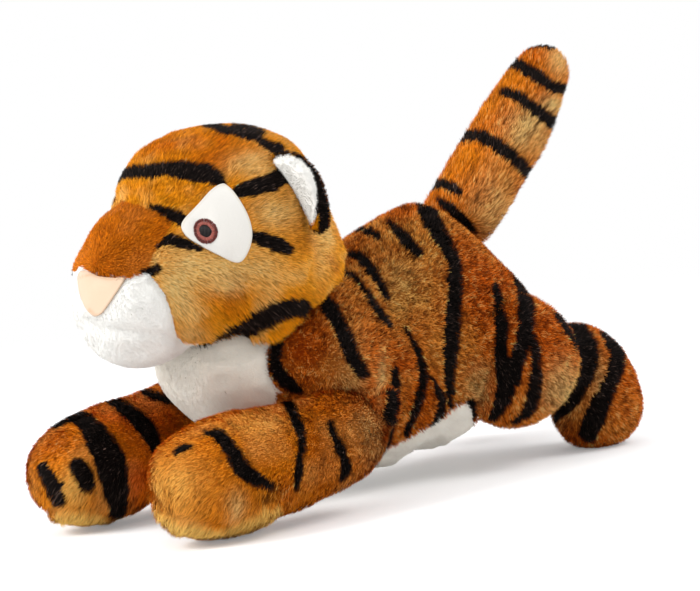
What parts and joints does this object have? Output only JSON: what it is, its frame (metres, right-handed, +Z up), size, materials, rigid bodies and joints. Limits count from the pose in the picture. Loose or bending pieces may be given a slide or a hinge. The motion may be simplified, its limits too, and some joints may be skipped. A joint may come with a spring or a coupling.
{
  "type": "plush toy tiger",
  "caption": "Lying plush tiger with striped orange-brown pile, white muzzle, chest and belly, embroidered eyes on felt, half-moon ears, upright tail and stretched front legs.",
  "frame": {"origin": "on the floor, under the middle of the toy's box", "axes": "+Z up; the tiger looks along -Y; +X towards its left side"},
  "size_m": [0.1552, 0.3284, 0.2112],
  "materials": {
    "filling": "loose polyester filling, pressed together",
    "gold_plush": "orange-brown pile with dark stripes",
    "bridge_plush": "shorter, darker orange-brown pile",
    "white_plush": "short white pile",
    "pale_plush": "pale gold pile",
    "nose_suede": "smooth brushed cloth",
    "felt": "flat white felt",
    "iris_thread": "satin stitch, mauve-brown thread",
    "pupil_thread": "satin stitch, black thread"
  },
  "bodies": {
    "trunk": {"trunk_filling": "filling", "chest_panel": "white_plush", "belly_panel": "white_plush", "back_panel_left": "gold_plush", "back_panel_right": "gold_plush"},
    "neck": {"neck_filling": "filling"},
    "head": {"head_filling": "filling", "bridge_panel": "bridge_plush", "forehead_panel": "gold_plush", "cheek_panel_left": "gold_plush", "cheek_panel_right": "gold_plush", "back_of_head_panel": "gold_plush", "muzzle_pad_left": "white_plush", "muzzle_pad_right": "white_plush", "chin_gusset": "white_plush", "nose": "nose_suede", "eye_patch_left": "felt", "eye_patch_right": "felt", "iris_left": "iris_thread", "iris_right": "iris_thread", "pupil_left": "pupil_thread", "pupil_right": "pupil_thread"},
    "tail": {"tail": "gold_plush"},
    "ear_left": {"ear_back_left": "gold_plush", "ear_front_left": "white_plush"},
    "front_leg_left": {"front_leg_left": "gold_plush", "front_sole_left": "pale_plush"},
    "hind_leg_left": {"thigh_left": "gold_plush", "hind_foot_left": "gold_plush"},
    "ear_right": {"ear_back_right": "gold_plush", "ear_front_right": "white_plush"},
    "front_leg_right": {"front_leg_right": "gold_plush", "front_sole_right": "pale_plush"},
    "hind_leg_right": {"thigh_right": "gold_plush", "hind_foot_right": "gold_plush"}
  },
  "joints": [
    {"name": "head_turn", "type": "hinge", "parent": "trunk", "child": "neck", "pos_m": [0, -0.06021, 0.098], "axis": [0, 0, 1], "range_deg": [-18, 18], "stiffness_Nm_per_rad": 0.6},
    {"name": "head_nod", "type": "hinge", "parent": "neck", "child": "head", "pos_m": [0, -0.06021, 0.098], "axis": [1, 0, 0], "range_deg": [-10, 8], "stiffness_Nm_per_rad": 1.2},
    {"name": "tail_wag", "type": "hinge", "parent": "trunk", "child": "tail", "pos_m": [0, 0.07679, 0.124], "axis": [0, 0.7035, -0.7107], "range_deg": [-20, 20], "stiffness_Nm_per_rad": 0.3},
    {"name": "ear_left_fold", "type": "hinge", "parent": "head", "child": "ear_left", "pos_m": [0.0495, -0.07021, 0.1555], "axis": [-0.2254, -0.3006, 0.9267], "range_deg": [-18, 18], "stiffness_Nm_per_rad": 0.05},
    {"name": "front_leg_left_swing", "type": "hinge", "parent": "trunk", "child": "front_leg_left", "pos_m": [0.055, -0.04021, 0.047], "axis": [1, 0, 0], "range_deg": [-8, 15], "stiffness_Nm_per_rad": 0.8},
    {"name": "hind_leg_left_swing", "type": "hinge", "parent": "trunk", "child": "hind_leg_left", "pos_m": [0.04, 0.03979, 0.068], "axis": [1, 0, 0], "range_deg": [-15, 15], "stiffness_Nm_per_rad": 0.8},
    {"name": "ear_right_fold", "type": "hinge", "parent": "head", "child": "ear_right", "pos_m": [-0.0495, -0.07021, 0.1555], "axis": [0.2254, -0.3006, 0.9267], "range_deg": [-18, 18], "stiffness_Nm_per_rad": 0.05},
    {"name": "front_leg_right_swing", "type": "hinge", "parent": "trunk", "child": "front_leg_right", "pos_m": [-0.055, -0.04021, 0.047], "axis": [1, 0, 0], "range_deg": [-8, 15], "stiffness_Nm_per_rad": 0.8},
    {"name": "hind_leg_right_swing", "type": "hinge", "parent": "trunk", "child": "hind_leg_right", "pos_m": [-0.04, 0.03979, 0.068], "axis": [1, 0, 0], "range_deg": [-15, 15], "stiffness_Nm_per_rad": 0.8}
  ]
}
